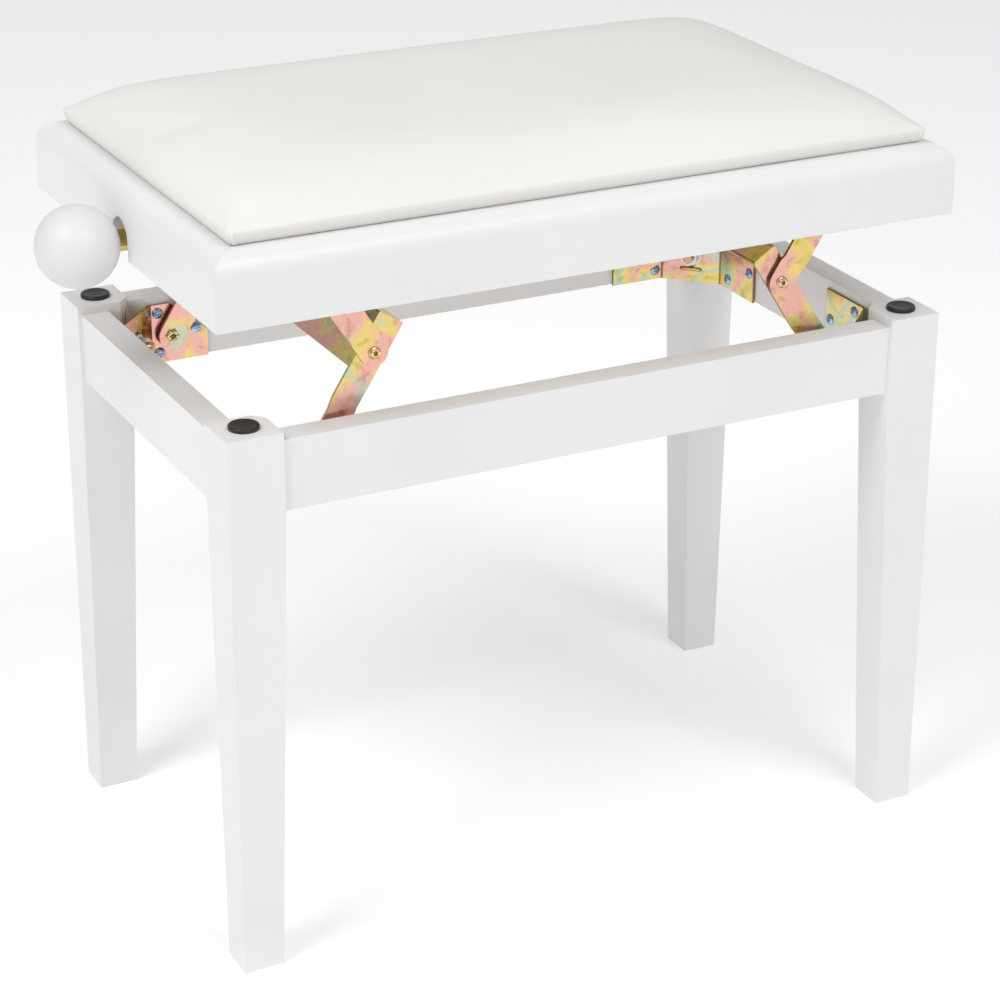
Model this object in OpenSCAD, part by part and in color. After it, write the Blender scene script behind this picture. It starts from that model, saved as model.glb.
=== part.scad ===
// Height-adjustable piano bench: four-legged base, double folding-link lift, upholstered seat.

/* [Base] */
// Width of the base over the legs
base_w = 549; // [520:1:600]
// Depth of the base over the legs
base_d = 320; // [300:1:360]
// Height of the legs
leg_h = 395.5; // [385:0.5:420]
// Width of a leg at its top, along X
leg_w = 40; // [38:1:44]
// Depth of a leg at its top, along Y
leg_d = 38; // [36:1:44]
// Side of the square foot
foot_w = 29; // [24:1:34]
// Flat across the inner top corner of a leg
leg_chamfer = 8; // [6:1:10]
// Diameter of the rubber pads on the leg tops
pad_dia = 21; // [16:1:26]
// Thickness of the rubber pads
pad_t = 3; // [2:0.5:4]

/* [Aprons] */
// Height of the aprons
apron_h = 50; // [48:1:60]
// Thickness of the aprons
apron_t = 20; // [18:1:22]
// Distance of the aprons behind the faces of the legs
apron_back = 3; // [1:0.5:6]
// Distance of the aprons below the tops of the legs
apron_drop = 6; // [3:0.5:10]

/* [Seat frame] */
// Width of the seat frame
seat_w = 555; // [540:1:600]
// Depth of the seat frame
seat_d = 342; // [330:1:370]
// Height of the rails
rail_h = 50; // [46:1:60]
// Thickness of the rails
rail_t = 20; // [18:1:22]
// Radius along the top outer edge of the rails
rail_round = 15; // [6:1:16]
// Offset of the seat frame towards the knob
seat_left = 5; // [0:1:6]
// Thickness of the seat board
board_t = 12; // [9:1:15]

/* [Cushion] */
// Width of the cushion
cushion_w = 523; // [500:1:540]
// Depth of the cushion
cushion_d = 311; // [290:1:325]
// Height of the cushion's crown over the seat frame
cushion_h = 38; // [28:1:50]
// Thickness of the panel under the foam
panel_t = 4; // [3:1:6]

/* [Lift] */
// Angle of the links to the floor, set by the spindle
lift_angle = 57.5; // [23:0.5:71]
// Distance of the base pivots from the middle of the bench
pivot_x = 201; // [190:1:205]
// Height of the base pivots
pivot_z = 360; // [358:1:364]
// Distance between the two pivots of one link
link_l = 81; // [78:1:82]
// Width of a link arm
link_w = 20; // [18:1:20]
// Thickness of the steel plate
plate_t = 2.5; // [2:0.5:2.5]
// Height of the seat pivots over the bottom of the seat frame
seat_pivot_up = 22.9; // [22:0.1:24]

/* [Knob and spindle] */
// Diameter of the ball knob
knob_dia = 57; // [45:1:60]
// Gap between the ball and the seat frame
knob_gap = 1.5; // [1:0.5:6]
// Diameter of the spindle
spindle_dia = 10; // [8:1:10]
// Height of the spindle over the bottom of the seat frame
spindle_up = 11; // [10:1:12]

/* [Hidden] */
$fn = 48;

LEFT = -1;
RIGHT = 1;
FRONT = -1;
REAR = 1;

// The knob stands out on the left, so the base is shifted to centre the whole bench on the origin.
knob_x = -(seat_w / 2 + seat_left + knob_gap + knob_dia / 2);
base_x = (-knob_x + knob_dia / 2 - base_w / 2) / 2;

// Faces and heights of the base.
apron_top = leg_h - apron_drop;
apron_low = apron_top - apron_h;
inner_x = base_w / 2 - apron_back - apron_t;
inner_y = base_d / 2 - apron_back - apron_t;
straight_low = apron_low - 2;

// Dowels, two in each joint of an apron and a leg.
dowel_dia = 8;
dowel_half = 15;
dowel_heights = [apron_low + 13, apron_top - 13];

// Corner brackets: u runs in from the short apron, v in from the long apron.
bracket_t = 2;
bracket_low = apron_low - 1;
bracket_h = 45;
bracket_leg = 35;
long_end = 80;
short_end = 86;
long_screws = [[41.5, 377], [71, 361.5], [42, 346]];
short_screws = [[47.5, 377], [79, 361], [47.5, 346]];
screw_shank = 14;
screw_r = 2;

// Hanger bolts through the diagonal of the brackets.
bolt_r = 4;
bolt_z = bracket_low + bracket_h / 2;
bolt_in_leg = 25;
bolt_out = 15;

// Rivets.
rivet_r = 3;
head_r = 4.5;
head_t = 1.8;
hole_r = rivet_r + 0.05;

// Layers of the lift, measured out from the middle of the bench along Y.
gap = 0.3;
shoulder_t = 2.8;
lower_foot_y = inner_y - bracket_t - shoulder_t;
lower_knee_y = lower_foot_y - plate_t;
upper_knee_y = lower_knee_y + plate_t + gap;
upper_top_y = upper_knee_y + 2;
seat_plate_y = upper_top_y + 0.4;
seat_plate_t = 2;

// The links.
link_reach = link_l + 26;
tray_low = link_l - 16;
end_r = link_w / 2;
knee_x = pivot_x - link_l * cos(lift_angle);
knee_z = pivot_z + link_l * sin(lift_angle);
seat_pivot_z = pivot_z + 2 * link_l * sin(lift_angle);

// The seat.
seat_z = seat_pivot_z - seat_pivot_up;
seat_top = seat_z + rail_h;
board_low = seat_top - board_t;
seat_inner_d = seat_d - 2 * rail_t;
seat_inner_w = seat_w - 2 * rail_t;
notch_r = 14;
notch_up = 13;

// The drive: the nuts hang a fixed depth below the seat pivots and turn the upper links by cranks.
spindle_r = spindle_dia / 2;
spindle_z = seat_z + spindle_up;
crank_depth = seat_pivot_up - spindle_up;
crank_mid_angle = 47;
crank_lean = 43;
nut_x = pivot_x + crank_depth * tan(lift_angle - crank_mid_angle);
nut_size = [20, 24, 16];
crank_y = 13;
crank_t = 3;
pin_r = 4;
run_clearance = 0.05;
bearing_t = 3;
bearing_left_x = -238;
bearing_right_x = 228;
collar_r = 8;
collar_w = 6;

// Puts a right-hand, rear shape at the side and end asked for.
module at_corner(side, end) {
    mirror([side == LEFT ? 1 : 0, 0, 0]) mirror([0, end == FRONT ? 1 : 0, 0]) children();
}

module at_all_corners() {
    for (side = [LEFT, RIGHT], end = [FRONT, REAR]) at_corner(side, end) children();
}

// Lays a shape drawn along X and Z on its side: Y becomes the thickness, from y outwards.
module upright(y, thickness) {
    translate([0, y + thickness, 0]) rotate([90, 0, 0]) linear_extrude(thickness) children();
}

// ---- Base ----

// Outline of a leg seen along one side: straight beside the apron, tapered below it on the inside.
module leg_outline(top_w) {
    polygon([[0, 0], [foot_w, 0], [top_w, straight_low], [top_w, leg_h], [0, leg_h]]);
}

module dowel_positions() {
    at_all_corners() for (z = dowel_heights) {
        translate([base_w / 2 - leg_w, inner_y + apron_t / 2, z]) rotate([0, 90, 0]) children();
        translate([inner_x + apron_t / 2, base_d / 2 - leg_d, z]) rotate([90, 0, 0]) children();
    }
}

module dowel_holes() {
    dowel_positions() cylinder(r = dowel_dia / 2 + 0.05, h = 2 * dowel_half + 0.6, center = true);
}

// The bolts stand square to the diagonals of the brackets.
module bolt_axes() {
    reach = inner_x - bracket_leg / 2;
    at_all_corners() translate([reach, inner_y - bracket_leg / 2, bolt_z])
        rotate([0, 0, 45]) rotate([0, 90, 0]) children();
}

module leg(side, end) {
    corner_cut = [[-leg_w - 1, -leg_d - 1], [-leg_w - 1, -leg_d + leg_chamfer],
                  [-leg_w, -leg_d + leg_chamfer], [-leg_w + leg_chamfer, -leg_d],
                  [-leg_w + leg_chamfer, -leg_d - 1]];
    color("white") difference() {
        at_corner(side, end) difference() {
            intersection() {
                translate([base_w / 2, base_d / 2, 0]) mirror([1, 0, 0])
                    upright(-leg_d, leg_d) leg_outline(leg_w);
                translate([base_w / 2, base_d / 2, 0]) mirror([0, 1, 0]) rotate([0, 0, 90])
                    upright(0, leg_w) leg_outline(leg_d);
            }
            translate([base_w / 2, base_d / 2, straight_low])
                linear_extrude(leg_h) polygon(corner_cut);
        }
        dowel_holes();
        bolt_axes() cylinder(r = bolt_r + 0.05, h = bolt_in_leg + 9);
    }
}

module apron_screw_holes() {
    at_all_corners() {
        for (p = long_screws) translate([inner_x - p[0], inner_y - 1, p[1]])
            rotate([-90, 0, 0]) cylinder(r = screw_r + 0.05, h = screw_shank + 1);
        for (p = short_screws) translate([inner_x - 1, inner_y - p[0], p[1]])
            rotate([0, 90, 0]) cylinder(r = screw_r + 0.05, h = screw_shank + 1);
        // Pocket for the hidden head of the base rivet.
        translate([pivot_x, inner_y - 1, pivot_z]) rotate([-90, 0, 0]) cylinder(r = head_r + 1, h = 4);
    }
}

module apron_long(end) {
    len = base_w - 2 * leg_w;
    color("white") difference() {
        at_corner(RIGHT, end) translate([-len / 2, inner_y, apron_low]) cube([len, apron_t, apron_h]);
        dowel_holes();
        apron_screw_holes();
    }
}

module apron_short(side) {
    len = base_d - 2 * leg_d;
    color("white") difference() {
        at_corner(side, REAR) translate([inner_x, -len / 2, apron_low]) cube([apron_t, len, apron_h]);
        dowel_holes();
        apron_screw_holes();
    }
}

module apron_dowels() {
    color("burlywood") dowel_positions() cylinder(r = dowel_dia / 2, h = 2 * dowel_half, center = true);
}

module leg_top_pads() {
    rim = 1;
    color("black") at_all_corners()
        translate([base_w / 2 - leg_w / 2, base_d / 2 - leg_d / 2, leg_h]) difference() {
            union() {
                cylinder(d = pad_dia, h = pad_t - rim);
                cylinder(d = pad_dia - 2 * rim, h = pad_t);
            }
            translate([0, 0, pad_t - 0.8]) cylinder(d = pad_dia - 6, h = 1);
        }
}

// ---- Corner brackets ----

module bracket_plan() {
    inner_leg = bracket_leg + bracket_t * (sqrt(2) - 1);
    polygon([[long_end, 0], [bracket_leg, 0], [0, bracket_leg], [0, short_end],
             [bracket_t, short_end], [bracket_t, inner_leg], [inner_leg, bracket_t],
             [long_end, bracket_t]]);
}

module corner_bracket(side, end) {
    slope_run = 29;
    slope_drop = 25;
    slope_start = long_end - slope_run;
    past = 5;
    slot_h = 13;
    top = bracket_low + bracket_h;
    color("khaki") difference() {
        at_corner(side, end) difference() {
            translate([inner_x, inner_y, bracket_low]) mirror([1, 0, 0]) mirror([0, 1, 0])
                linear_extrude(bracket_h) bracket_plan();
            // Sloped end of the long flange.
            translate([inner_x, 0, 0]) mirror([1, 0, 0]) upright(inner_y - bracket_t - 1, bracket_t + 2)
                polygon([[slope_start - past * slope_run / slope_drop, top + past],
                         [long_end + past * slope_run / slope_drop, top - slope_drop - past],
                         [long_end + past * slope_run / slope_drop, top + past]]);
            for (p = long_screws) translate([inner_x - p[0], inner_y - 4, p[1]])
                rotate([-90, 0, 0]) cylinder(r = screw_r + 0.3, h = 5);
            for (p = short_screws) translate([inner_x - 4, inner_y - p[0], p[1]])
                rotate([0, 90, 0]) cylinder(r = screw_r + 0.3, h = 5);
            translate([pivot_x, inner_y - 4, pivot_z]) rotate([-90, 0, 0]) cylinder(r = hole_r, h = 5);
        }
        // Slot for the hanger bolt, round at both ends.
        bolt_axes() linear_extrude(10, center = true) {
            square([slot_h, 2 * bolt_r + 1], center = true);
            for (x = [-slot_h / 2, slot_h / 2]) translate([x, 0]) circle(bolt_r + 0.5);
        }
    }
}

// Pan-head screw with a cross recess, head up, the underside of the head at z = 0.
module pan_screw(shank) {
    pan_r = 4.25;
    pan_t = 2.2;
    difference() {
        union() {
            intersection() {
                cylinder(r = pan_r, h = pan_t);
                translate([0, 0, pan_t - 6]) sphere(r = 6);
            }
            translate([0, 0, -shank]) cylinder(r = screw_r, h = shank + 0.5);
        }
        for (turn = [0, 90]) rotate([0, 0, turn])
            translate([-2.3, -0.45, pan_t - 1.3]) cube([4.6, 0.9, 2]);
    }
}

module corner_bracket_screws() {
    color("lightsteelblue") at_all_corners() {
        for (p = long_screws) translate([inner_x - p[0], inner_y - bracket_t, p[1]])
            rotate([90, 0, 0]) pan_screw(screw_shank);
        for (p = short_screws) translate([inner_x - bracket_t, inner_y - p[0], p[1]])
            rotate([0, -90, 0]) pan_screw(screw_shank);
    }
}

module leg_bolts() {
    color("peru") bolt_axes() translate([0, 0, -bolt_out])
        cylinder(r = bolt_r, h = bolt_out + (bracket_leg - 24) / sqrt(2) + bolt_in_leg);
}

module leg_nuts() {
    flange_t = 1.6;
    color("silver") bolt_axes() translate([0, 0, -bracket_t]) difference() {
        union() {
            translate([0, 0, -flange_t]) cylinder(r = 9, h = flange_t);
            translate([0, 0, -flange_t - 7]) cylinder(r = 7.5, h = 7.1, $fn = 6);
        }
        translate([0, 0, -12]) cylinder(r = bolt_r + 0.05, h = 14);
    }
}

// Rivet along +Y with its inner head below y = 0, a shank of the given length and an outer head.
module rivet(length) {
    rotate([-90, 0, 0]) {
        translate([0, 0, -head_t]) rivet_head();
        cylinder(r = rivet_r, h = length);
        translate([0, 0, length + head_t]) mirror([0, 0, 1]) rivet_head();
    }
}

// Domed head with a split middle.
module rivet_head() {
    difference() {
        intersection() {
            cylinder(r = head_r, h = head_t);
            translate([0, 0, 6.4]) sphere(r = 6.4);
        }
        translate([0, 0, -1]) cylinder(r = 1.4, h = 1.6);
    }
}

// Rivets with a shoulder that holds the arm off the bracket and its screw heads.
module base_pivot_rivets() {
    color("gold") at_all_corners() translate([pivot_x, lower_foot_y, pivot_z]) {
        translate([0, -plate_t - 0.2, 0]) rivet(inner_y - lower_foot_y + plate_t + 0.2);
        translate([0, 0.1, 0]) rotate([-90, 0, 0]) cylinder(r = rivet_r + 2.5, h = shoulder_t - 0.1);
    }
}

// ---- Links ----

// Plate arm with an offset bend: y0 before the bend at bend_x, y1 after it.
module offset_plate(x0, x1, bend_x, bend_l, y0, y1) {
    translate([0, 0, -20]) linear_extrude(40)
        polygon([[x0, y0], [bend_x, y0], [bend_x + bend_l, y1], [x1, y1],
                 [x1, y1 - plate_t], [bend_x + bend_l, y1 - plate_t],
                 [bend_x, y0 - plate_t], [x0, y0 - plate_t]]);
}

module on_both_ends() {
    for (end = [FRONT, REAR]) at_corner(RIGHT, end) children();
}

// Lower link along +X from its base pivot: two arms, a back plate and an end plate, as one pressing.
module lower_link() {
    notch_half = 18;
    bend_at = 34;
    difference() {
        union() {
            on_both_ends() intersection() {
                offset_plate(-end_r, link_reach, bend_at, 8, lower_foot_y, lower_knee_y);
                upright(lower_knee_y - 10, 30) union() {
                    circle(end_r);
                    translate([0, -end_r]) square([link_reach, link_w]);
                }
            }
            translate([tray_low, -lower_knee_y, end_r - plate_t])
                cube([link_reach - tray_low, 2 * lower_knee_y, plate_t]);
            translate([link_reach - plate_t, -lower_knee_y, -end_r])
                cube([plate_t, 2 * lower_knee_y, link_w]);
        }
        on_both_ends() for (x = [0, link_l])
            translate([x, lower_knee_y - 10, 0]) rotate([-90, 0, 0]) cylinder(r = hole_r, h = 30);
        // Notch that clears the spindle when the seat is down.
        translate([link_l + 5, -notch_half, 2]) cube([link_reach, 2 * notch_half, link_w]);
    }
}

// Upper link along +X from its seat pivot: two arms, a torque bar and the two slotted cranks.
module upper_link() {
    bar_x = 30;
    bar_w = 9;
    slot_mid = 12.45;
    crank_x = slot_mid * cos(crank_lean);
    crank_z = -slot_mid * sin(crank_lean);
    difference() {
        union() {
            on_both_ends() intersection() {
                offset_plate(-end_r, link_l + end_r, link_l - 17, 4, upper_top_y, upper_knee_y);
                upright(upper_knee_y - 10, 30) union() {
                    circle(end_r);
                    translate([0, -end_r]) square([link_l, link_w]);
                    translate([link_l, 0]) circle(end_r);
                }
            }
            translate([bar_x, -upper_top_y, -end_r]) cube([bar_w, 2 * upper_top_y, plate_t]);
            on_both_ends() upright(crank_y, crank_t) union() {
                translate([crank_x, crank_z]) circle(9.5);
                polygon([[5, 0.5], [bar_x + 4, -4], [bar_x + bar_w, -end_r + plate_t],
                         [bar_x + bar_w, -end_r], [bar_x, -end_r], [14, -15]]);
            }
        }
        on_both_ends() {
            for (x = [0, link_l]) translate([x, upper_knee_y - 10, 0])
                rotate([-90, 0, 0]) cylinder(r = hole_r, h = 30);
            // Slot that the pin of the nut block slides in.
            translate([0, crank_y - 1, 0]) rotate([0, crank_lean, 0]) {
                for (x = [slot_mid - 1.2, slot_mid + 1.2]) translate([x, 0, 0])
                    rotate([-90, 0, 0]) cylinder(r = pin_r + 0.3, h = crank_t + 2);
                translate([slot_mid - 1.2, 0, -pin_r - 0.3]) cube([2.4, crank_t + 2, 2 * pin_r + 0.6]);
            }
        }
    }
}

module lower_link_at(side) {
    color("khaki") at_corner(-side, REAR)
        translate([-pivot_x, 0, pivot_z]) rotate([0, -lift_angle, 0]) lower_link();
}

module upper_link_at(side) {
    color("khaki") at_corner(-side, REAR)
        translate([-pivot_x, 0, seat_pivot_z]) rotate([0, lift_angle, 0]) upper_link();
}

module knee_rivets(side) {
    color("gold") on_both_ends()
        translate([side * knee_x, lower_knee_y - plate_t, knee_z]) rivet(2 * plate_t + gap + 0.2);
}

// ---- Seat ----

// Rail section, outer face at y = 0, with a round top outer edge.
module rail_section() {
    difference() {
        square([rail_t, rail_h]);
        translate([0, rail_h - rail_round]) difference() {
            square(rail_round);
            translate([rail_round, 0]) circle(rail_round);
        }
    }
}

// A rail of the given length along X, outer face towards -Y, mitred at both ends.
module mitred_rail(length, depth) {
    intersection() {
        translate([-length / 2, -depth / 2, seat_z]) rotate([90, 0, 90])
            linear_extrude(length) rail_section();
        translate([0, -depth / 2, seat_z - 1]) linear_extrude(rail_h + 2)
            polygon([[-length / 2, 0], [length / 2, 0],
                     [length / 2 - rail_t, rail_t], [-length / 2 + rail_t, rail_t]]);
    }
}

module at_seat() {
    translate([-seat_left, 0, 0]) children();
}

module seat_rail_long(end) {
    color("white") at_seat() rotate([0, 0, end == FRONT ? 0 : 180]) mitred_rail(seat_w, seat_d);
}

module seat_rail_right() {
    color("white") at_seat() rotate([0, 0, 90]) mitred_rail(seat_d, seat_w);
}

module seat_rail_left() {
    color("white") at_seat() difference() {
        rotate([0, 0, -90]) mitred_rail(seat_d, seat_w);
        // Arched notch that the spindle passes through.
        translate([-seat_w / 2 - 1, 0, seat_z]) {
            translate([0, 0, notch_up]) rotate([0, 90, 0]) cylinder(r = notch_r, h = rail_t + 2);
            translate([0, -notch_r, -1]) cube([rail_t + 2, 2 * notch_r, notch_up + 1]);
        }
    }
}

module seat_board() {
    color("burlywood") at_seat() translate([-seat_inner_w / 2, -seat_inner_d / 2, board_low])
        cube([seat_inner_w, seat_inner_d, board_t]);
}

module seat_battens() {
    batten = 12;
    batten_l = 440;
    color("burlywood") at_seat() on_both_ends()
        translate([-batten_l / 2, seat_inner_d / 2 - batten, board_low - batten])
            cube([batten_l, batten, batten]);
}

module cushion_panel() {
    inset = 3;
    color("burlywood") at_seat()
        translate([-cushion_w / 2 + inset, -cushion_d / 2 + inset, seat_top])
            cube([cushion_w - 2 * inset, cushion_d - 2 * inset, panel_t]);
}

// One level of the cushion: a thin slab drawn in from the edge.
module cushion_level(inset, up) {
    translate([-cushion_w / 2 + inset, -cushion_d / 2 + inset, seat_top + up])
        cube([cushion_w - 2 * inset, cushion_d - 2 * inset, 0.1]);
}

module cushion() {
    color("ivory") at_seat() hull() {
        cushion_level(0, panel_t);
        cushion_level(0, 11);
        cushion_level(14, cushion_h - 11);
        cushion_level(34, cushion_h - 3);
        cushion_level(75, cushion_h - 0.1);
    }
}

// Plate that carries a seat pivot, with a flange screwed up into the board.
module seat_bracket(side, end) {
    half_w = 13;
    flange_w = 24;
    color("khaki") at_corner(side, end) translate([pivot_x, 0, 0]) difference() {
        union() {
            upright(seat_plate_y, seat_plate_t) union() {
                translate([0, seat_pivot_z]) circle(half_w);
                translate([-half_w, seat_pivot_z]) square([2 * half_w, board_low - seat_pivot_z]);
            }
            translate([-half_w, seat_plate_y + seat_plate_t - flange_w, board_low - seat_plate_t])
                cube([2 * half_w, flange_w, seat_plate_t]);
        }
        translate([0, seat_plate_y - 1, seat_pivot_z])
            rotate([-90, 0, 0]) cylinder(r = hole_r, h = seat_plate_t + 2);
        seat_bracket_holes() translate([0, 0, -3]) cylinder(r = screw_r + 0.3, h = 6);
    }
}

// Two screws in the flange of each seat bracket, seen from the pivot.
module seat_bracket_holes() {
    for (x = [-8, 8]) translate([x, seat_plate_y - 12, board_low - seat_plate_t]) children();
}

module seat_bracket_screws() {
    color("lightsteelblue") at_all_corners() translate([pivot_x, 0, 0])
        seat_bracket_holes() mirror([0, 0, 1]) short_screw();
}

// Flat-headed short screw, head at z = 0 to 1.6.
module short_screw() {
    cylinder(r = 3.6, h = 1.6);
}

module seat_pivot_rivets() {
    color("gold") at_all_corners() translate([pivot_x, upper_top_y - plate_t - 0.2, seat_pivot_z])
        rivet(seat_plate_y + seat_plate_t - upper_top_y + plate_t + 0.2);
}

// ---- Spindle drive ----

// Angle plate under the board with the hole that the spindle turns in.
module spindle_bearing(x, flange_dir) {
    half_w = 18;
    flange_l = 22;
    low = spindle_z - 14;
    color("khaki") difference() {
        union() {
            translate([x, -half_w, low]) cube([bearing_t, 2 * half_w, board_low - low]);
            translate([flange_dir > 0 ? x : x + bearing_t - flange_l, -half_w, board_low - bearing_t])
                cube([flange_l, 2 * half_w, bearing_t]);
        }
        translate([x - 1, 0, spindle_z]) rotate([0, 90, 0])
            cylinder(r = spindle_r + run_clearance, h = bearing_t + 2);
    }
}

module bearing_screws() {
    color("lightsteelblue") for (y = [-11, 11], x = [bearing_left_x + 14, bearing_right_x - 11])
        translate([x, y, board_low - bearing_t]) mirror([0, 0, 1]) short_screw();
}

module along_spindle(x0, x1, r) {
    translate([x0, 0, spindle_z]) rotate([0, 90, 0]) cylinder(r = r, h = x1 - x0);
}

module spindle() {
    color("silver") along_spindle(knob_x - 4, bearing_right_x + bearing_t + 8, spindle_r);
}

module ring(x0, width, r) {
    difference() {
        along_spindle(x0, x0 + width, r);
        along_spindle(x0 - 1, x0 + width + 1, spindle_r);
    }
}

module spindle_sleeve() {
    start = knob_x + knob_dia / 2 - 1;
    color("khaki") difference() {
        ring(start, bearing_left_x - collar_w - 0.5 - start, 7.5);
        knob_ball();
    }
}

// Rings on both sides of the left bearing, which take the thrust, and one at the far end.
module spindle_collars() {
    color("silver") for (x = [bearing_left_x - collar_w - 0.1, bearing_left_x + bearing_t + 0.1,
                              bearing_right_x + bearing_t + 0.1])
        ring(x, collar_w, collar_r);
}

module knob_ball() {
    translate([knob_x, 0, spindle_z]) rotate([0, 90, 0]) sphere(d = knob_dia);
}

module knob() {
    color("white") difference() {
        knob_ball();
        along_spindle(knob_x - 4, knob_x + knob_dia, spindle_r);
    }
}

// Threaded block with a pin on each side that works in the slots of the cranks.
module nut_block(side) {
    pin_reach = 20;
    color("silver") translate([side * nut_x, 0, spindle_z]) difference() {
        union() {
            translate(-nut_size / 2) cube(nut_size);
            rotate([90, 0, 0]) cylinder(r = pin_r, h = 2 * pin_reach, center = true);
        }
        rotate([0, 90, 0]) cylinder(r = spindle_r + run_clearance, h = 30, center = true);
    }
}

module shown() {
    translate([base_x, 0, 0]) children();
}

shown() leg(LEFT, FRONT);  // leg_front_left
shown() leg(RIGHT, FRONT);  // leg_front_right
shown() leg(LEFT, REAR);  // leg_rear_left
shown() leg(RIGHT, REAR);  // leg_rear_right
shown() apron_long(FRONT);  // apron_front
shown() apron_long(REAR);  // apron_rear
shown() apron_short(LEFT);  // apron_left
shown() apron_short(RIGHT);  // apron_right
shown() apron_dowels();
shown() leg_top_pads();
shown() corner_bracket(LEFT, FRONT);  // corner_bracket_front_left
shown() corner_bracket(RIGHT, FRONT);  // corner_bracket_front_right
shown() corner_bracket(LEFT, REAR);  // corner_bracket_rear_left
shown() corner_bracket(RIGHT, REAR);  // corner_bracket_rear_right
shown() corner_bracket_screws();
shown() leg_bolts();
shown() leg_nuts();
shown() base_pivot_rivets();
shown() lower_link_at(LEFT);  // lower_link_left
shown() lower_link_at(RIGHT);  // lower_link_right
shown() knee_rivets(LEFT);  // knee_rivets_left
shown() knee_rivets(RIGHT);  // knee_rivets_right
shown() upper_link_at(LEFT);  // upper_link_left
shown() upper_link_at(RIGHT);  // upper_link_right
shown() seat_rail_long(FRONT);  // seat_rail_front
shown() seat_rail_long(REAR);  // seat_rail_rear
shown() seat_rail_left();
shown() seat_rail_right();
shown() seat_board();
shown() seat_battens();
shown() cushion_panel();
shown() cushion();
shown() seat_bracket(LEFT, FRONT);  // seat_bracket_front_left
shown() seat_bracket(RIGHT, FRONT);  // seat_bracket_front_right
shown() seat_bracket(LEFT, REAR);  // seat_bracket_rear_left
shown() seat_bracket(RIGHT, REAR);  // seat_bracket_rear_right
shown() seat_bracket_screws();
shown() seat_pivot_rivets();
shown() spindle_bearing(bearing_left_x, 1);  // spindle_bearing_left
shown() spindle_bearing(bearing_right_x, -1);  // spindle_bearing_right
shown() bearing_screws();
shown() spindle();
shown() spindle_sleeve();
shown() spindle_collars();
shown() knob();
shown() nut_block(LEFT);  // nut_block_left
shown() nut_block(RIGHT);  // nut_block_right
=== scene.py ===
import math

import bmesh
import bpy
from mathutils import Matrix, Vector


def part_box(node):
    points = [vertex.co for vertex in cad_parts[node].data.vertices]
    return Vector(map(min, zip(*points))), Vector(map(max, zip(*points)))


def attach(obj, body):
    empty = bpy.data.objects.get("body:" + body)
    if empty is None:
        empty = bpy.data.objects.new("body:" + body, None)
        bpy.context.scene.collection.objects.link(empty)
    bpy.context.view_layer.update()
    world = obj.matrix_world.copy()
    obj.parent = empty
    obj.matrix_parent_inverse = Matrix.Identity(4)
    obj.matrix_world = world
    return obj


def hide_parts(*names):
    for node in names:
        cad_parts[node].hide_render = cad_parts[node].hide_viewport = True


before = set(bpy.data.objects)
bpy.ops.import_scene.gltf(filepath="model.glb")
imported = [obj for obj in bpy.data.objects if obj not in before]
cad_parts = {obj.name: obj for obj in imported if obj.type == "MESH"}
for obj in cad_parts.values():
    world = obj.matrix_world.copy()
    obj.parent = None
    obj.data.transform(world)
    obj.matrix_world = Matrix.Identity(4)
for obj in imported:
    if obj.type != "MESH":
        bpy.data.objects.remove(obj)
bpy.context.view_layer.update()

# ------------------------------------------------------------------------------------------
# Studio: a pale floor that runs on to a pale surround, lit evenly by large soft lights from
# above and both sides. The camera looks down on the front left corner of the bench.
floor_mesh = bpy.data.meshes.new("studio_floor")
floor_mesh.from_pydata([(-9, -9, 0), (9, -9, 0), (9, 9, 0), (-9, 9, 0)], [], [(0, 1, 2, 3)])
floor = bpy.data.objects.new("studio_floor", floor_mesh)
bpy.context.scene.collection.objects.link(floor)

paper = bpy.data.materials.new("white_paper_floor")
paper.use_nodes = True
paper_shader = paper.node_tree.nodes["Principled BSDF"]
paper_shader.inputs["Base Color"].default_value = (0.95, 0.95, 0.95, 1)
paper_shader.inputs["Emission Color"].default_value = (1, 1, 1, 1)
paper_shader.inputs["Emission Strength"].default_value = 0.21
paper_shader.inputs["Roughness"].default_value = 0.9
paper_shader.inputs["Specular IOR Level"].default_value = 0.1
floor_mesh.materials.append(paper)

surround = bpy.data.worlds.new("white_studio")
surround.use_nodes = True
surround.node_tree.nodes["Background"].inputs["Color"].default_value = (1.0, 1.0, 1.0, 1)
surround.node_tree.nodes["Background"].inputs["Strength"].default_value = 0.50
bpy.context.scene.world = surround
bpy.context.scene.view_settings.view_transform = "Standard"


def soft_light(name, place, aim, size, power):
    panel = bpy.data.lights.new(name, "AREA")
    panel.shape = "SQUARE"
    panel.size = size
    panel.energy = power
    lamp = bpy.data.objects.new(name, panel)
    lamp.location = place
    lamp.rotation_euler = (Vector(aim) - Vector(place)).to_track_quat("-Z", "Y").to_euler()
    bpy.context.scene.collection.objects.link(lamp)


soft_light("left_window", (-2.1, -0.7, 2.7), (0, 0, 0.35), 1.4, 43)
soft_light("front_window", (0.5, -2.1, 2.8), (0, 0, 0.3), 1.4, 30)
soft_light("overhead", (0.3, 0.9, 2.8), (0, 0, 0.4), 1.7, 3)

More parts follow.
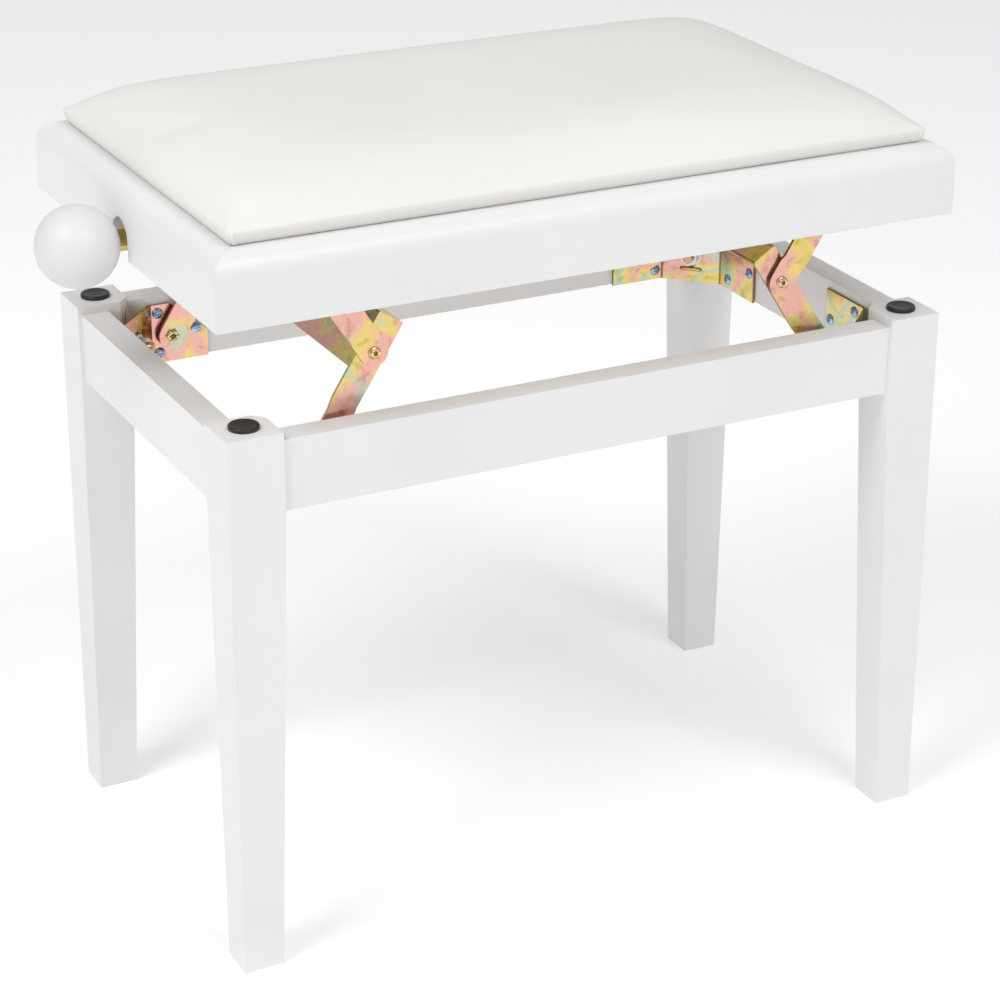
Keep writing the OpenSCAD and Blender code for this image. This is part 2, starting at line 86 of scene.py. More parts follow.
yaw, pitch, roll = math.radians(28.24), math.radians(22.88), math.radians(0.65)
ahead = Vector((math.sin(yaw) * math.cos(pitch), math.cos(yaw) * math.cos(pitch), -math.sin(pitch)))
level = Vector((math.cos(yaw), -math.sin(yaw), 0))
upright = level.cross(ahead)
side = math.cos(roll) * level + math.sin(roll) * upright
top = math.cos(roll) * upright - math.sin(roll) * level
lens = bpy.data.cameras.new("bench_camera")
lens.sensor_width = 36
lens.lens = 104.54
lens.shift_x = -0.060
lens.shift_y = -0.040
camera = bpy.data.objects.new("bench_camera", lens)
turn = Matrix((side, top, -ahead)).transposed()
camera.matrix_world = Matrix.Translation((-0.86065, -1.7627, 1.1064)) @ turn.to_4x4()
bpy.context.scene.collection.objects.link(camera)
bpy.context.scene.camera = camera

# ------------------------------------------------------------------------------------------
# Base: four solid beech legs tapered on their inner faces and four aprons dowelled between
# them, all sprayed with satin white lacquer. The edges are sanded round before spraying.


def plan_material(name):
    """An empty material with its shader, ready for the section's own nodes."""
    skin = bpy.data.materials.new(name)
    skin.use_nodes = True
    return skin, skin.node_tree.nodes, skin.node_tree.links, skin.node_tree.nodes["Principled BSDF"]


def grain_texture(nodes, links, size, detail, stretch=(1, 1, 1), turn=(0, 0, 0)):
    """Noise in the object's own metres: size is how many grains there are to a metre."""
    place = nodes.new("ShaderNodeTexCoord")
    scale = nodes.new("ShaderNodeMapping")
    scale.inputs["Scale"].default_value = stretch
    scale.inputs["Rotation"].default_value = turn
    noise = nodes.new("ShaderNodeTexNoise")
    noise.inputs["Scale"].default_value = size
    noise.inputs["Detail"].default_value = detail
    links.new(place.outputs["Object"], scale.inputs["Vector"])
    links.new(scale.outputs["Vector"], noise.inputs["Vector"])
    return noise


def tint(nodes, links, noise, stops):
    """Turns a texture into colours; stops are (place, colour)."""
    ramp = nodes.new("ShaderNodeValToRGB")
    ramp.color_ramp.elements[0].position, ramp.color_ramp.elements[0].color = stops[0][0], (*stops[0][1], 1)
    ramp.color_ramp.elements[1].position, ramp.color_ramp.elements[1].color = stops[-1][0], (*stops[-1][1], 1)
    for place, colour in stops[1:-1]:
        ramp.color_ramp.elements.new(place).color = (*colour, 1)
    links.new(noise.outputs["Fac"], ramp.inputs["Fac"])
    return ramp


def spread(nodes, links, noise, low, high):
    """Turns a texture into a number between low and high."""
    reach = nodes.new("ShaderNodeMapRange")
    reach.inputs["From Min"].default_value = 0.3
    reach.inputs["From Max"].default_value = 0.7
    reach.inputs["To Min"].default_value = low
    reach.inputs["To Max"].default_value = high
    links.new(noise.outputs["Fac"], reach.inputs["Value"])
    return reach.outputs["Result"]


def relief(nodes, links, noise, shader, depth, strength):
    bump = nodes.new("ShaderNodeBump")
    bump.inputs["Distance"].default_value = depth
    bump.inputs["Strength"].default_value = strength
    links.new(noise.outputs["Fac"], bump.inputs["Height"])
    links.new(bump.outputs["Normal"], shader.inputs["Normal"])


def lacquer(name, light, shade, rough, speckle):
    skin, nodes, links, shader = plan_material(name)
    cloud = grain_texture(nodes, links, 9, 3)
    film = tint(nodes, links, cloud, [(0.35, shade), (0.65, light)])
    links.new(film.outputs["Color"], shader.inputs["Base Color"])
    mist = grain_texture(nodes, links, 60, 4)
    links.new(spread(nodes, links, mist, rough - 0.04, rough + 0.05), shader.inputs["Roughness"])
    relief(nodes, links, grain_texture(nodes, links, speckle, 2), shader, 0.00025, 0.12)
    shader.inputs["Coat Weight"].default_value = 0.15
    shader.inputs["Coat Roughness"].default_value = 0.3
    return skin


white_lacquer = lacquer("satin_white_lacquer", (0.80, 0.80, 0.805), (0.775, 0.775, 0.782), 0.42, 420)


def fit_piece(name, mesh, body, node=None):
    """Puts a finished mesh on the body it moves with, in place of a node if one is named."""
    piece = bpy.data.objects.new(name, mesh)
    bpy.context.scene.collection.objects.link(piece)
    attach(piece, body)
    if node:
        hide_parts(node)
    return piece


def mesh_from(work, name, *skins):
    """Turns the worked shape into a mesh that wears the given finishes."""
    mesh = bpy.data.meshes.new(name)
    work.to_mesh(mesh)
    work.free()
    for skin in skins:
        mesh.materials.append(skin)
    return mesh


fold_angle = math.radians(28)    # anything sharper is an edge that the maker takes off
hard_angle = math.radians(50)
sheet_cut = 0.0027               # faces narrower than this are the cut edge of sheet
punched = 0.0007                 # edges shorter than this belong to punched holes


def turned_more_than(line, angle):
    return len(line.link_faces) == 2 and line.calc_face_angle(0) > angle


def flush_with_bigger(face):
    """True for a sliver that lies flat beside a much bigger face."""
    return any(line.calc_face_angle(1) < 0.005 and other.calc_area() > 4 * face.calc_area()
               for line in face.edges for other in line.link_faces)


def eased(node, body, skin, edge, rounds=2, fold=None, edge_shade_skin=None):
    """The part as its maker finishes it: whole flat faces, edges taken off by the given amount,
    folds (direction, least length, radius) rolled over, and the cut edges of sheet in a darker
    finish that paints the shade along the sheet's thickness. The small holes in sheet stay sharp, as punched."""
    work = bmesh.new()
    work.from_mesh(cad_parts[node].data)
    bmesh.ops.remove_doubles(work, verts=work.verts, dist=2e-6)
    bmesh.ops.dissolve_limit(work, angle_limit=math.radians(0.6), verts=work.verts, edges=work.edges)
    if fold:
        way, least, radius = Vector(fold[0]), fold[1], fold[2]
        bends = [e for e in work.edges if e.calc_length() > least and e.calc_face_angle(0) > fold_angle
                 and abs((e.verts[0].co - e.verts[1].co).normalized().dot(way)) > 0.999]
        bmesh.ops.bevel(work, geom=bends, offset=radius, offset_type="OFFSET", segments=5, profile=0.5,
                        affect="EDGES", clamp_overlap=True)
    if edge:
        shortest = punched if edge_shade_skin else 0.0
        corners = [e for e in work.edges if turned_more_than(e, fold_angle) and e.calc_length() > shortest]
        bmesh.ops.bevel(work, geom=corners, offset=edge, offset_type="OFFSET", segments=rounds, profile=0.5,
                        affect="EDGES", clamp_overlap=True, miter_outer="ARC")
    bmesh.ops.dissolve_degenerate(work, dist=1e-6, edges=work.edges)
    for line in work.edges:
        line.smooth = not turned_more_than(line, hard_angle)
    for face in work.faces:
        face.smooth = True
        narrow = face.calc_area() < 0.5 * sheet_cut * face.calc_perimeter()
        # Narrow cut faces of sheet take the darker finish, as painted shade along the sheet's thickness.
        if edge_shade_skin and narrow and not flush_with_bigger(face):
            face.material_index = 1
    skins = (skin, edge_shade_skin) if edge_shade_skin else (skin,)
    piece = fit_piece(node + "_finished", mesh_from(work, node + "_finished", *skins), body, node)
    flat = piece.modifiers.new("true_flats", "WEIGHTED_NORMAL")
    flat.weight = 100
    flat.keep_sharp = True


for leg in ("leg_front_left", "leg_front_right", "leg_rear_left", "leg_rear_right"):
    eased(leg, "base", white_lacquer, 0.0009, 3)
for apron in ("apron_front", "apron_rear", "apron_left", "apron_right"):
    eased(apron, "base", white_lacquer, 0.0007, 3)

# ------------------------------------------------------------------------------------------
# Dowels: fluted beech pegs glued into the aprons and legs, out of sight. The same bare wood
# is on the seat board, the battens under it and the ply panel under the foam.
bare_wood, nodes, links, shader = plan_material("bare_birch")
rings = grain_texture(nodes, links, 26, 6, (1, 7, 7))
figure = tint(nodes, links, rings, [(0.3, (0.52, 0.42, 0.30)), (0.5, (0.67, 0.58, 0.45)),
                                    (0.72, (0.74, 0.66, 0.54))])
links.new(figure.outputs["Color"], shader.inputs["Base Color"])
links.new(spread(nodes, links, rings, 0.55, 0.75), shader.inputs["Roughness"])
relief(nodes, links, grain_texture(nodes, links, 220, 4, (0.08, 1, 1)), shader, 0.0003, 0.3)


def refinish(node, skin):
    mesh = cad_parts[node].data
    mesh.materials.clear()
    mesh.materials.append(skin)


refinish("apron_dowels", bare_wood)
for board in ("seat_board", "seat_battens", "cushion_panel"):
    eased(board, "seat", bare_wood, 0.0005, 1)

# ------------------------------------------------------------------------------------------
# Pads: small discs of black rubber glued on the leg tops, which the seat frame lands on.
# Each has a rounded rim and a slightly dished face.
black_rubber, nodes, links, shader = plan_material("black_rubber")
bloom = grain_texture(nodes, links, 300, 5)
dusty = tint(nodes, links, bloom, [(0.35, (0.008, 0.008, 0.010)), (0.7, (0.020, 0.021, 0.025))])
links.new(dusty.outputs["Color"], shader.inputs["Base Color"])
links.new(spread(nodes, links, bloom, 0.28, 0.42), shader.inputs["Roughness"])
relief(nodes, links, grain_texture(nodes, links, 1500, 2), shader, 0.0002, 0.2)


def turned(name, outline, place, axis, around=96):
    """A lathe-turned solid: outline is (distance along the axis, radius) from end to end."""
    work = bmesh.new()
    rings = []
    toward = Vector(axis).normalized()
    across = toward.orthogonal().normalized()
    beside = toward.cross(across)
    for along, radius in outline:
        centre = Vector(place) + toward * along
        rings.append([work.verts.new(centre + radius * (math.cos(2 * math.pi * k / around) * across
                                                        + math.sin(2 * math.pi * k / around) * beside))
                      for k in range(around)])
    for lower, upper in zip(rings, rings[1:]):
        for k in range(around):
            work.faces.new((lower[k], lower[(k + 1) % around], upper[(k + 1) % around], upper[k]))
    work.faces.new(list(reversed(rings[0])))
    work.faces.new(rings[-1])
    bmesh.ops.recalc_face_normals(work, faces=work.faces)
    for face in work.faces:
        face.smooth = len(face.verts) == 4
    return mesh_from(work, name)


def arc(centre_along, centre_radius, radius, start, end, steps):
    """Points of a rounded edge for a turned outline, angles in degrees from the axis."""
    points = []
    for k in range(steps + 1):
        angle = math.radians(start + (end - start) * k / steps)
        points.append((centre_along + radius * math.cos(angle), centre_radius + radius * math.sin(angle)))
    return points


pad_radius, pad_height = 0.0105, 0.0030
low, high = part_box("leg_top_pads")
pad_places = [(x, y, low.z) for x in (low.x + pad_radius, high.x - pad_radius)
              for y in (low.y + pad_radius, high.y - pad_radius)]
pad_outline = ([(0.0, pad_radius)] + arc(pad_height - 0.0012, pad_radius - 0.0012, 0.0012, 90, 0, 6)
               + [(pad_height - 0.0002, pad_radius - 0.0022), (pad_height - 0.0006, pad_radius - 0.0040),
                  (pad_height - 0.0009, 0.0030), (pad_height - 0.0009, 0.0004)])
work = bmesh.new()
for place in pad_places:
    work.from_mesh(turned("one_pad", pad_outline, place, (0, 0, 1), 64))
pads_mesh = mesh_from(work, "rubber_pads", black_rubber)
fit_piece("rubber_pads", pads_mesh, "base", "leg_top_pads")

# ------------------------------------------------------------------------------------------
# Brackets and links: pressed sheet steel, zinc plated and passivated yellow. The passivation
# dries in soft clouds of rose and straw with a little olive and pale blue. The cut edges of the
# sheet wear a darker, browner copy of the finish: painted shade along the sheet's thickness.
def passivated(name, rose, straw, olive, sky, rough):
    skin, nodes, links, shader = plan_material(name)
    cloud = grain_texture(nodes, links, 20, 2.4, (1, 1, 0.75), (0.5, 0.6, 0.2))
    cloud.inputs["Distortion"].default_value = 0.5
    film = tint(nodes, links, cloud, [(0.26, olive), (0.34, straw), (0.41, rose), (0.48, rose), (0.54, straw),
                                      (0.60, sky), (0.65, straw), (0.72, olive)])
    patch = grain_texture(nodes, links, 27, 1.0, (1, 0.8, 1), (1.1, 0.4, 0.9))
    wet = nodes.new("ShaderNodeMapRange")
    wet.interpolation_type = "SMOOTHSTEP"
    wet.inputs["From Min"].default_value = 0.60
    wet.inputs["From Max"].default_value = 0.72
    wet.inputs["To Max"].default_value = 0.75
    links.new(patch.outputs["Fac"], wet.inputs["Value"])
    pooled = nodes.new("ShaderNodeMix")
    pooled.data_type = "RGBA"
    pooled.inputs["B"].default_value = (*sky, 1)
    links.new(wet.outputs["Result"], pooled.inputs["Factor"])
    links.new(film.outputs["Color"], pooled.inputs["A"])
    streak = grain_texture(nodes, links, 150, 5)
    haze = tint(nodes, links, streak, [(0.30, (0.66, 0.62, 0.50)), (0.46, (0.96, 0.96, 0.94)),
                                       (0.7, (1, 1, 1))])
    both = nodes.new("ShaderNodeMix")
    both.data_type = "RGBA"
    both.blend_type = "MULTIPLY"
    both.inputs["Factor"].default_value = 0.75
    links.new(pooled.outputs["Result"], both.inputs["A"])
    links.new(haze.outputs["Color"], both.inputs["B"])
    links.new(both.outputs["Result"], shader.inputs["Base Color"])
    links.new(spread(nodes, links, streak, rough - 0.05, rough + 0.12), shader.inputs["Roughness"])
    relief(nodes, links, grain_texture(nodes, links, 600, 3), shader, 0.0002, 0.12)
    shader.inputs["Metallic"].default_value = 0.95
    return skin


yellow_zinc = passivated("yellow_passivated_zinc", (0.80, 0.44, 0.38), (0.80, 0.62, 0.19), (0.46, 0.45, 0.13),
                         (0.46, 0.60, 0.50), 0.20)
# Painted shade: a darker, browner copy of the zinc finish for cut edges, rivet bores and rib lines.
painted_shade_zinc = passivated("yellow_zinc_painted_shade", (0.26, 0.15, 0.07), (0.36, 0.25, 0.06), (0.12, 0.12, 0.03),
                      (0.24, 0.20, 0.10), 0.34)
deburred = 0.0003


def pressed(node, body, fold):
    eased(node, body, yellow_zinc, deburred, 2, fold, painted_shade_zinc)


for corner in ("front_left", "front_right", "rear_left", "rear_right"):
    pressed("corner_bracket_" + corner, "base", ((0, 0, 1), 0.040, 0.0016))
    pressed("seat_bracket_" + corner, "seat", ((1, 0, 0), 0.020, 0.0012))
for link in ("lower_link_left", "lower_link_right", "upper_link_left", "upper_link_right"):
    pressed(link, link, ((0, 1, 0), 0.060, 0.0034))
for bearing in ("spindle_bearing_left", "spindle_bearing_right"):
    pressed(bearing, "seat", ((0, 1, 0), 0.030, 0.0016))
eased("spindle_sleeve", "spindle", yellow_zinc, deburred, 2)

# ------------------------------------------------------------------------------------------
# Rivets: hollow steel rivets with low domed heads, plated with the links. The end of the shank is
# split and rolled back over the head: in petals at the base pivots, in a ring at the knees.
rivet_zinc = passivated("rivet_passivated_zinc", (0.80, 0.52, 0.40), (0.78, 0.64, 0.22), (0.50, 0.42, 0.12),
                        (0.60, 0.62, 0.50), 0.26)
for rivets, body in (("base_pivot_rivets", "base"), ("knee_rivets_left", "lower_link_left"),
                     ("knee_rivets_right", "lower_link_right"), ("seat_pivot_rivets", "seat")):
    eased(rivets, body, rivet_zinc, 0.00015, 2)


def corner_points(node):
    """The node's points in one group for each corner of the bench, with the corner's signs."""
    low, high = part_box(node)
    points = [v.co.copy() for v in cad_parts[node].data.vertices]
    sides = (-1, 1) if high.x - low.x > 0.03 else (0,)
    middle_x = (low.x + high.x) / 2
    return [(sx, sy, [p for p in points if (p.x - middle_x) * sx >= 0 and p.y * sy > 0])
            for sx in sides for sy in (-1, 1)]


def midway(values):
    values = list(values)
    return (min(values) + max(values)) / 2


def tube(work, rings, closed):
    """Skins a row of rings of points; closed joins the last to the first, or else the ends are capped."""
    count = len(rings[0])
    following = rings[1:] + rings[:1] if closed else rings[1:]
    for a, b in zip(rings, following):
        for j in range(count):
            work.faces.new((a[j], a[(j + 1) % count], b[(j + 1) % count], b[j]))
    if not closed:
        work.faces.new(rings[0])
        work.faces.new(list(reversed(rings[-1])))


def dark_slab(work, upper, lower):
    """A closed slab between two like outlines, in the mesh's second finish, the darker one that paints shade.
    """
    count = len(upper)
    made = [work.faces.new(upper), work.faces.new(list(reversed(lower)))]
    made += [work.faces.new((upper[j], upper[(j + 1) % count], lower[(j + 1) % count], lower[j]))
             for j in range(count)]
    for face in made:
        face.material_index = 1


def circle(count):
    return [2 * math.pi * k / count for k in range(count)]


def rolled_heads(node, body, petals, outer, size=1.0):
    """The hollow shank end of each rivet, split and rolled back over its head, with a dark disc in its bore
    as painted shade.
    """
    roll_radius, roll_thick, bore_radius = size * 0.00245, size * 0.00105, size * 0.0018
    sunk = 0.0003
    work = bmesh.new()
    for sx, sy, points in corner_points(node):
        x, z = midway(p.x for p in points), midway(p.z for p in points)
        ends = [(min(abs(p.y) for p in points) * sy, -sy)]
        if outer:
            ends.append((max(abs(p.y) for p in points) * sy, sy))
        for y, way in ends:
            rings = []
            for angle in circle(48):
                wave = math.cos(petals * angle)
                radius, thick = roll_radius * (1 + 0.07 * wave), roll_thick * (1 + 0.28 * wave)
                rings.append([work.verts.new((x + (radius + thick * math.cos(t)) * math.cos(angle),
                                              y + way * (thick * math.sin(t) - sunk),
                                              z + (radius + thick * math.cos(t)) * math.sin(angle)))
                              for t in circle(10)])
            tube(work, rings, True)
            # A dark disc in the bore: painted shade inside the hollow shank.
            bore_shade_disc = [[work.verts.new((x + bore_radius * math.cos(t), y + way * depth,
                                     z + bore_radius * math.sin(t))) for t in circle(24)]
                    for depth in (0.0001, -0.0008)]
            dark_slab(work, *bore_shade_disc)
    bmesh.ops.recalc_face_normals(work, faces=work.faces)
    for face in work.faces:
        face.smooth = True
    fit_piece(node + "_rolled", mesh_from(work, node + "_rolled", rivet_gold, painted_shade_zinc), body)


rivet_gold = passivated("rivet_gold_zinc", (0.88, 0.66, 0.34), (0.92, 0.76, 0.26), (0.66, 0.54, 0.14),
                        (0.80, 0.72, 0.44), 0.20)
rolled_heads("base_pivot_rivets", "base", 6, False, 1.3)
rolled_heads("knee_rivets_left", "lower_link_left", 2, True)
rolled_heads("knee_rivets_right", "lower_link_right", 2, True)
rolled_heads("seat_pivot_rivets", "seat", 2, False)

# ------------------------------------------------------------------------------------------
# Screws: cross-head wood screws of blue-passivated zinc. They are driven through the brackets
# into the aprons, and through the seat brackets and spindle bearings into the seat.
blue_zinc, nodes, links, shader = plan_material("blue_passivated_zinc")
film = grain_texture(nodes, links, 260, 3)
blues = tint(nodes, links, film, [(0.35, (0.17, 0.29, 0.50)), (0.55, (0.36, 0.49, 0.70)),
                                  (0.7, (0.60, 0.67, 0.76))])
links.new(blues.outputs["Color"], shader.inputs["Base Color"])
links.new(spread(nodes, links, film, 0.18, 0.30), shader.inputs["Roughness"])
shader.inputs["Metallic"].default_value = 1.0
for screws, body in (("corner_bracket_screws", "base"), ("seat_bracket_screws", "seat"),
                     ("bearing_screws", "seat")):
    eased(screws, body, blue_zinc, 0.00015, 2)

# ------------------------------------------------------------------------------------------
# Leg bolts: a hanger bolt runs from each leg through the slope of its bracket, and a flanged
# nut of bright zinc pulls the joint tight. The bolt keeps a coppery passivation.
bolt_zinc = passivated("coppery_bolt_zinc", (0.62, 0.36, 0.22), (0.60, 0.42, 0.22), (0.40, 0.26, 0.14),
                       (0.55, 0.45, 0.36), 0.32)
eased("leg_bolts", "base", bolt_zinc, 0.0006, 1)
bright_steel, nodes, links, shader = plan_material("bright_zinc_steel")
brushed = grain_texture(nodes, links, 240, 4, (1, 1, 0.2))
greys = tint(nodes, links, brushed, [(0.3, (0.52, 0.53, 0.52)), (0.7, (0.74, 0.74, 0.71))])
links.new(greys.outputs["Color"], shader.inputs["Base Color"])
links.new(spread(nodes, links, brushed, 0.22, 0.38), shader.inputs["Roughness"])
relief(nodes, links, brushed, shader, 0.0001, 0.15)
shader.inputs["Metallic"].default_value = 1.0
eased("leg_nuts", "base", bright_steel, 0.0004, 2)

# A short rib is pressed into each bracket's slope below its nut, to stiffen it. A dark line
# round it, in the darker finish, is painted shadow along the pressed edge.
rib_half, rib_round, rib_height, rib_half_wide = 0.0085, 0.0015, 0.0013, 0.0012
below_nut = 0.0122
work = bmesh.new()
for sx, sy, points in corner_points("leg_nuts"):
    outward = Vector((sx, sy, 0)).normalized()
    beside = Vector((-sy, sx, 0)).normalized()
    foot = max(p.dot(outward) for p in points)
    rib_z = midway(p.z for p in points) - below_nut
    centre = beside * midway(p.dot(beside) for p in points) + Vector((0, 0, rib_z))
    rows = []
    for k in range(13):
        along = -rib_half + 2 * rib_half * k / 12
        full = 0.02 + math.sqrt(max(0.0, 1 - max(0.0, (abs(along) - rib_half + rib_round) / rib_round) ** 2))
        rows.append([work.verts.new(outward * (foot - full * max(rib_height * math.sin(t), -0.0005)) + centre
                                    + beside * along + Vector((0, 0, -full * rib_half_wide * math.cos(t))))
                     for t in circle(16)])
    tube(work, rows, False)
    # The dark line round the rib: painted shadow, a thin slab just proud of the slope.
    line_half, line_half_wide = rib_half + 0.0007, rib_half_wide + 0.0005
    rib_shadow_line = [[work.verts.new(outward * (foot - proud) + centre
                              + beside * line_half * math.copysign(abs(math.cos(t)) ** 0.3, math.cos(t))
                              + Vector((0, 0, line_half_wide * math.sin(t))))
               for t in circle(24)] for proud in (0.00006, -0.0004)]
    dark_slab(work, *rib_shadow_line)
bmesh.ops.recalc_face_normals(work, faces=work.faces)
for face in work.faces:
    face.smooth = True
fit_piece("bracket_ribs", mesh_from(work, "bracket_ribs", yellow_zinc, painted_shade_zinc), "base")
for nut in ("nut_block_left", "nut_block_right"):
    eased(nut, nut, bright_steel, 0.0006, 2)
eased("spindle_collars", "spindle", bright_steel, 0.0004, 2)

# ------------------------------------------------------------------------------------------
# Spindle: a bright 10 mm rod with a rolled trapezoid thread at each end, left-handed on one
# side and right-handed on the other, so that one turn moves both nuts inwards or outwards.
low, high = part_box("spindle")
axis_z = (low.z + high.z) / 2
rod_radius, core_radius, thread_pitch = 0.0050, 0.0042, 0.002
thread_runs = ((low.x + 0.104, low.x + 0.172), (high.x - 0.075, high.x - 0.020))
outline = [(0, rod_radius - 0.0006), (0.0006, rod_radius)]
for start, end in thread_runs:
    outline += [(start - low.x - 0.0008, rod_radius), (start - low.x, core_radius),
                (end - low.x, core_radius), (end - low.x + 0.0008, rod_radius)]
outline += [(high.x - low.x - 0.0006, rod_radius), (high.x - low.x, rod_radius - 0.0006)]
work = bmesh.new()
work.from_mesh(turned("rod", outline, (low.x, 0, axis_z), (1, 0, 0), 48))
per_turn = 28
root = core_radius - 0.0002
tooth = ((-0.00085, root), (-0.00035, rod_radius), (0.00035, rod_radius), (0.00085, root))
for (start, end), hand in zip(thread_runs, (1, -1)):
    steps = int((end - start - 0.002) / thread_pitch * per_turn)
    sections = []
    for k in range(steps + 1):
        angle = hand * 2 * math.pi * k / per_turn
        middle = start + 0.001 + thread_pitch * k / per_turn
        sections.append([work.verts.new((middle + dx, r * math.cos(angle), axis_z + r * math.sin(angle)))
                         for dx, r in tooth])
    tube(work, sections, False)
bmesh.ops.recalc_face_normals(work, faces=work.faces)
rod_mesh = mesh_from(work, "threaded_spindle", bright_steel)
fit_piece("threaded_spindle", rod_mesh, "spindle", "spindle")

# ------------------------------------------------------------------------------------------
# Knob: a turned beech ball with a flat round its bore, sprayed with the same white lacquer
# as the frame but rubbed down more, so that it is duller in the hand.
ball_lacquer = lacquer("rubbed_white_lacquer", (0.72, 0.72, 0.717), (0.70, 0.70, 0.698), 0.5, 380)
low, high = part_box("knob")
ball_radius = (high.z - low.z) / 2
ball_x = low.x + ball_radius
mouth = 0.0082
ball_outline = [(-math.sqrt(ball_radius ** 2 - 0.0003 ** 2), 0.0003)]
ball_outline += arc(0, 0, ball_radius, 178.6, math.degrees(math.asin(mouth / ball_radius)), 64)
flat = math.sqrt(ball_radius ** 2 - mouth ** 2)
ball_outline += [(flat + 0.0001, mouth - 0.0008), (flat, 0.0056), (flat - 0.002, 0.0054)]
ball_mesh = turned("ball_knob", ball_outline, (ball_x, 0, (low.z + high.z) / 2), (1, 0, 0), 128)
ball_mesh.materials.append(ball_lacquer)
fit_piece("ball_knob", ball_mesh, "spindle", "knob")

# ------------------------------------------------------------------------------------------
# Seat frame: four beech rails, mitred and glued at the corners, with the top outer edge run
# round before they are lacquered. The left rail has an arched notch for the spindle.
for rail in ("seat_rail_front", "seat_rail_rear", "seat_rail_left", "seat_rail_right"):
    eased(rail, "seat", white_lacquer, 0.0006, 3)

# ------------------------------------------------------------------------------------------
# Cushion: foam on a ply panel, under off-white leatherette pulled down over the sides and
# stapled below. It has a low side that leans out, a soft crown and a folded tuck at each corner.
low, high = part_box("cushion")
frame_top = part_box("seat_rail_front")[1].z
middle = (low + high) / 2
half_w, half_d = (high.x - low.x) / 2, (high.y - low.y) / 2
side_height, crown_height = 0.0106, 0.0362
slope_run, corner_radius = 0.0175, 0.0040
near_edge = (0.0, 0.0009, 0.0021, 0.0038, 0.0062, 0.0095, 0.0140, 0.0195, 0.0260, 0.0335, 0.0420)
# The side leans out as it rises: height above the frame, and how far it stands in from the edge.
side_rows = ((0.0094, -0.0003), (0.0076, -0.0003), (0.0054, 0.0002), (0.0034, 0.0009), (0.0018, 0.0018),
             (0.0007, 0.0027), (0.0004, 0.0034), (0.0012, 0.0041), (0.0042, 0.0043))


def stations(half):
    """Lines of the cover across the cushion, close together near its edges."""
    count = int((2 * half - 2 * near_edge[-1]) / 0.0090)
    inner = [near_edge[-1] + (2 * half - 2 * near_edge[-1]) * k / count for k in range(1, count)]
    return [d - half for d in (*near_edge, *inner)] + [half - d for d in reversed(near_edge)]


def rise(distance):
    """Share of the crown's height gained at a distance in from the side."""
    return 1 - math.exp(-distance / slope_run)


def corner_turned(x, y):
    """Rounds the cover's corners in plan."""
    dx, dy = half_w - abs(x), half_d - abs(y)
    if dx >= corner_radius or dy >= corner_radius:
        return x, y
    px, py = corner_radius - dx, corner_radius - dy
    shrink = max(px, py) / math.hypot(px, py)
    return (math.copysign(half_w - corner_radius + px * shrink, x),
            math.copysign(half_d - corner_radius + py * shrink, y))


across, along = stations(half_w), stations(half_d)
work = bmesh.new()
sheet = {}
for i, x in enumerate(across):
    for j, y in enumerate(along):
        px, py = corner_turned(x, y)
        lift = side_height + (crown_height - side_height) * rise(half_w - abs(x)) * rise(half_d - abs(y))
        sheet[i, j] = work.verts.new((middle.x + px, middle.y + py, frame_top + lift))
for i in range(len(across) - 1):
    for j in range(len(along) - 1):
        work.faces.new((sheet[i, j], sheet[i + 1, j], sheet[i + 1, j + 1], sheet[i, j + 1]))
last_i, last_j = len(across) - 1, len(along) - 1
rim = ([sheet[i, 0] for i in range(last_i)] + [sheet[last_i, j] for j in range(last_j)]
       + [sheet[i, last_j] for i in range(last_i, 0, -1)] + [sheet[0, j] for j in range(last_j, 0, -1)])
pinned = []
above = rim
for height, inset in side_rows:
    row = []
    for v in rim:
        dx, dy = v.co.x - middle.x, v.co.y - middle.y
        row.append(work.verts.new((middle.x + dx * (1 - inset / half_w), middle.y + dy * (1 - inset / half_d),
                                   frame_top + height)))
    for k in range(len(rim)):
        n = (k + 1) % len(rim)
        work.faces.new((above[k], row[k], row[n], above[n]))
    pinned += row
    above = row
work.faces.new(above)
bmesh.ops.recalc_face_normals(work, faces=work.faces)
work.verts.index_update()
pinned = [v.index for v in pinned]
cover_mesh = mesh_from(work, "leatherette_cushion")
cushion = bpy.data.objects.new("leatherette_cushion", cover_mesh)
bpy.context.scene.collection.objects.link(cushion)

# Pressure of the foam swells the cover a little between its stapled edges.
settling_frames, most_swell = 20, 0.0022
held = cushion.vertex_groups.new(name="stapled_edge")
held.add(pinned, 1.0, "REPLACE")
cloth = cushion.modifiers.new("foam_pressure", "CLOTH")
cloth.settings.quality = 6
cloth.settings.mass = 0.3
cloth.settings.tension_stiffness = 40
cloth.settings.compression_stiffness = 40
cloth.settings.shear_stiffness = 20
cloth.settings.bending_stiffness = 4
cloth.settings.use_pressure = True
cloth.settings.uniform_pressure_force = 1.2
cloth.settings.effector_weights.gravity = 0
cloth.settings.vertex_group_mass = "stapled_edge"
cloth.point_cache.frame_start, cloth.point_cache.frame_end = 1, settling_frames
for moment in range(1, settling_frames + 1):
    bpy.context.scene.frame_set(moment)
blown = cushion.evaluated_get(bpy.context.evaluated_depsgraph_get())
moved = [v.co.copy() for v in blown.data.vertices]
cushion.modifiers.remove(cloth)
cushion.vertex_groups.clear()
for v, to in zip(cover_mesh.vertices, moved):
    step = to - v.co
    if step.length > most_swell:
        step *= most_swell / step.length
    v.co += step
bpy.context.scene.frame_set(1)

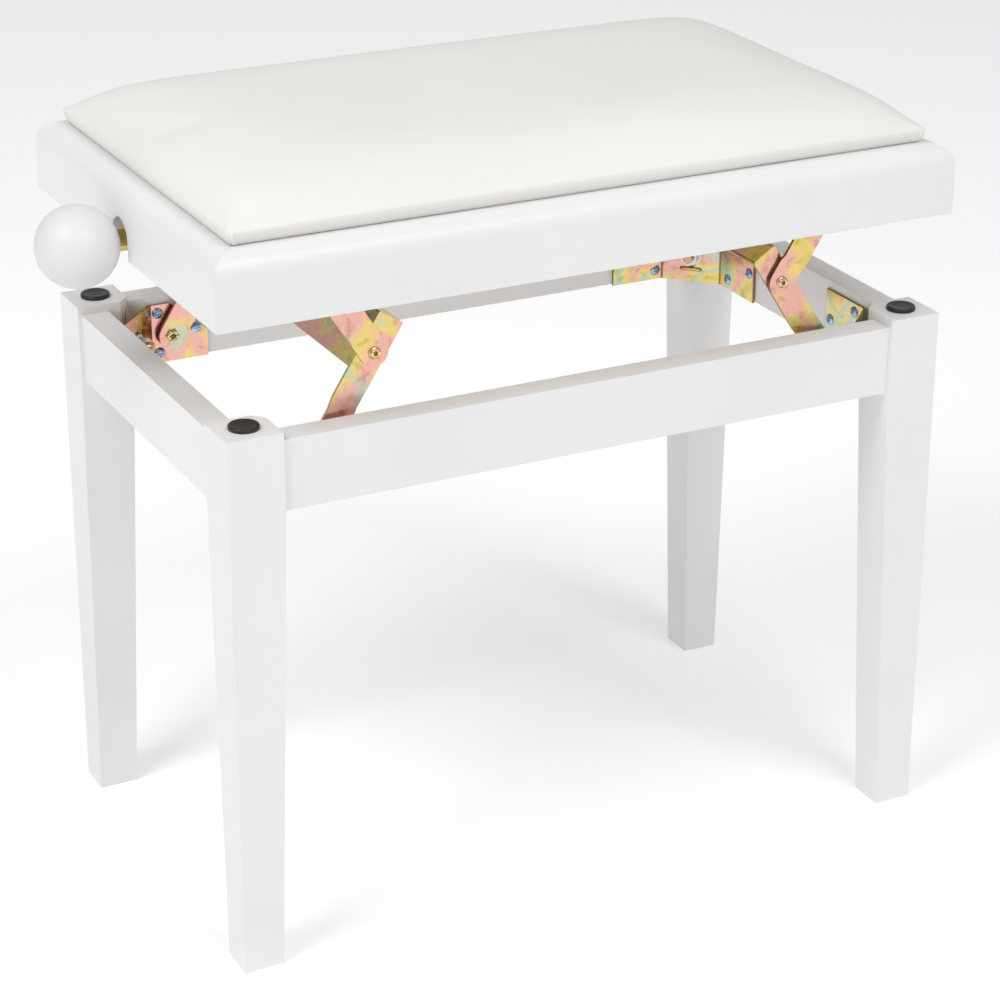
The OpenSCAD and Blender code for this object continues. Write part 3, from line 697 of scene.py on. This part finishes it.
finer = cushion.modifiers.new("finer_cover", "SUBSURF")
finer.levels = finer.render_levels = 1
for face in cover_mesh.polygons:
    face.use_smooth = True

leatherette, nodes, links, shader = plan_material("off_white_leatherette")
cast = grain_texture(nodes, links, 6, 3)
off_white = tint(nodes, links, cast, [(0.35, (0.770, 0.762, 0.735)), (0.65, (0.800, 0.793, 0.768))])
links.new(off_white.outputs["Color"], shader.inputs["Base Color"])
links.new(spread(nodes, links, grain_texture(nodes, links, 45, 4), 0.44, 0.54), shader.inputs["Roughness"])
pebble = nodes.new("ShaderNodeTexVoronoi")
pebble.feature = "SMOOTH_F1"
pebble.inputs["Scale"].default_value = 900
place = nodes.new("ShaderNodeTexCoord")
links.new(place.outputs["Object"], pebble.inputs["Vector"])
bump = nodes.new("ShaderNodeBump")
bump.inputs["Distance"].default_value = 0.0003
bump.inputs["Strength"].default_value = 0.22
links.new(pebble.outputs["Distance"], bump.inputs["Height"])
links.new(bump.outputs["Normal"], shader.inputs["Normal"])
cover_mesh.materials.append(leatherette)
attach(cushion, "seat")
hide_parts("cushion")

# Corner tucks: at each corner the spare leatherette is folded flat against the side, which
# leaves a narrow flap that leans with it and a fine crease beside it.
flap_section = ((-1.0, -1.0), (-1.0, 0.8), (-0.6, 1.0), (0.6, 1.0), (1.0, 0.3), (1.0, -1.0))
work = bmesh.new()
for sx in (-1, 1):
    for sy in (-1, 1):
        flap = []
        for height, inset in side_rows[6::-1] + ((side_height + 0.0004, 0.0012),):
            x0 = middle.x + sx * (half_w - 0.0030 - inset)
            y0 = middle.y + sy * (half_d - inset)
            wide = 0.0019 - 0.05 * height
            thick = 0.0006 if height < side_height - 0.002 else 0.0002
            flap.append([work.verts.new((x0 + sx * dx * wide, y0 + sy * dy * thick, frame_top + height))
                         for dx, dy in flap_section])
        tube(work, flap, False)
bmesh.ops.recalc_face_normals(work, faces=work.faces)
for face in work.faces:
    face.smooth = True
fit_piece("corner_tucks", mesh_from(work, "corner_tucks", leatherette), "seat")
